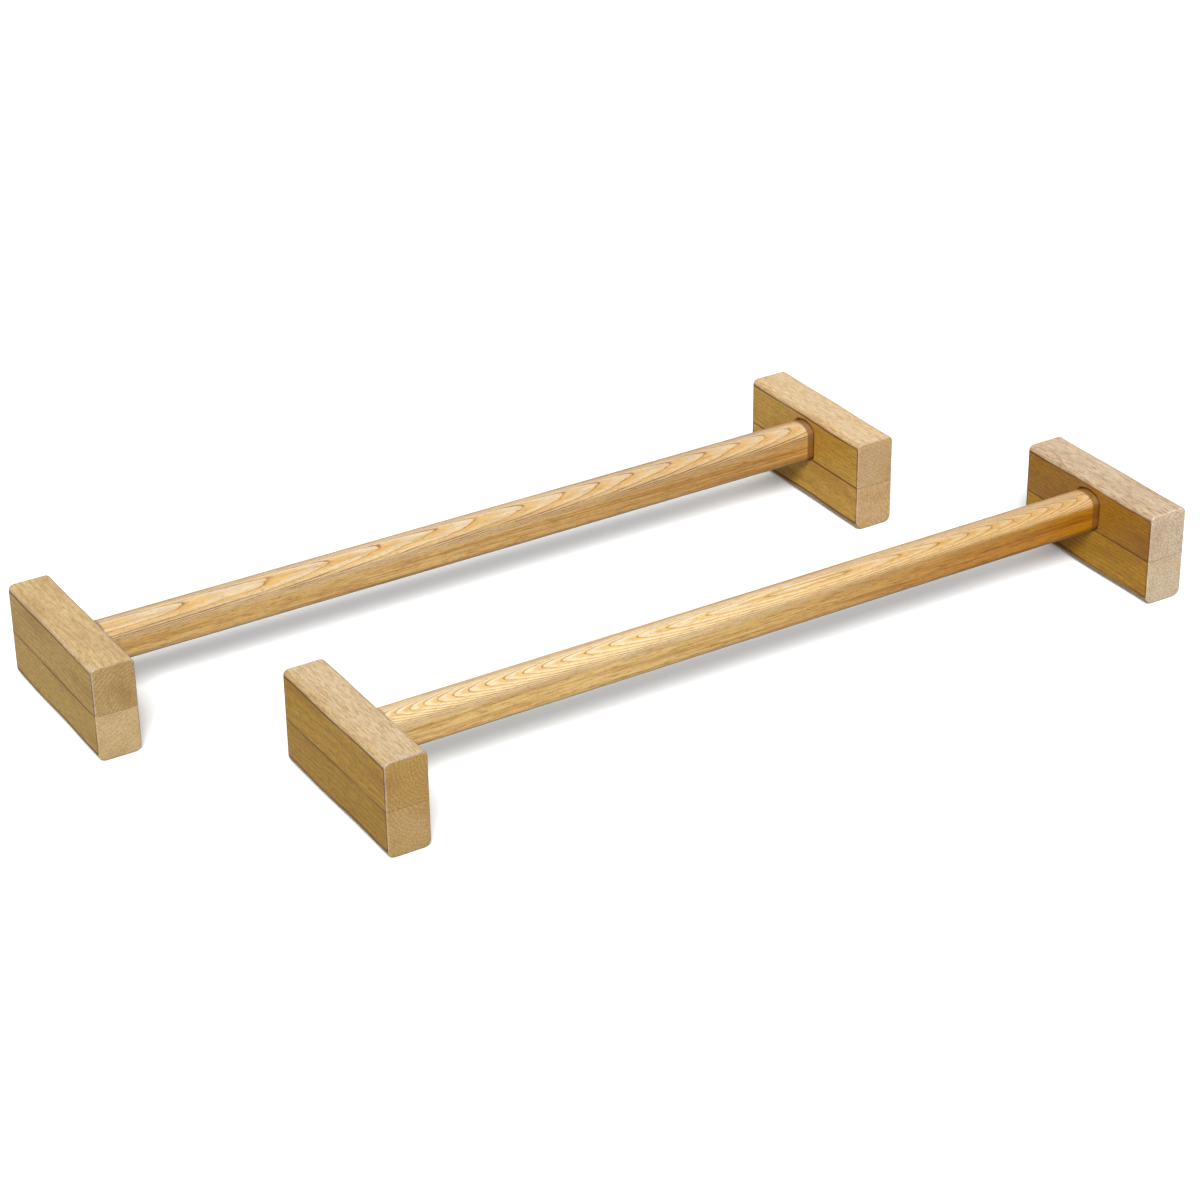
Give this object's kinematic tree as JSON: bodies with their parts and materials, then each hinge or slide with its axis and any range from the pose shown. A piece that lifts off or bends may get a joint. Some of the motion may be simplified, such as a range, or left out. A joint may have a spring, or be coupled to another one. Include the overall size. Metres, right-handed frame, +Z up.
{
  "type": "low wooden parallel bars",
  "caption": "Low free-standing wooden parallel bars for floor handstands and presses, each a crowned rail let into laminated end blocks.",
  "frame": {"origin": "On the floor, midway between the two bars and midway along the pair.", "axes": "+X along the rails, +Y across them from the front bar towards the back bar, +Z up"},
  "size_m": [1.208, 0.558, 0.114],
  "materials": {
    "rail_wood": "satin lacquered ash",
    "upper_board_wood": "satin lacquered beech",
    "lower_board_wood": "satin lacquered beech",
    "screw_steel": "zinc plated"
  },
  "bodies": {
    "back_bar": {"back_rail": "rail_wood", "back_left_upper_board": "upper_board_wood", "back_left_lower_board": "lower_board_wood", "back_right_upper_board": "upper_board_wood", "back_right_lower_board": "lower_board_wood", "back_locking_screws": "screw_steel"},
    "front_bar": {"front_rail": "rail_wood", "front_left_upper_board": "upper_board_wood", "front_left_lower_board": "lower_board_wood", "front_right_upper_board": "upper_board_wood", "front_right_lower_board": "lower_board_wood", "front_locking_screws": "screw_steel"}
  },
  "joints": [
    {"name": "front_bar_spacing", "type": "slide", "parent": "back_bar", "child": "front_bar", "axis": [0, -1, 0], "range_m": [-0.098, 0.317]}
  ]
}
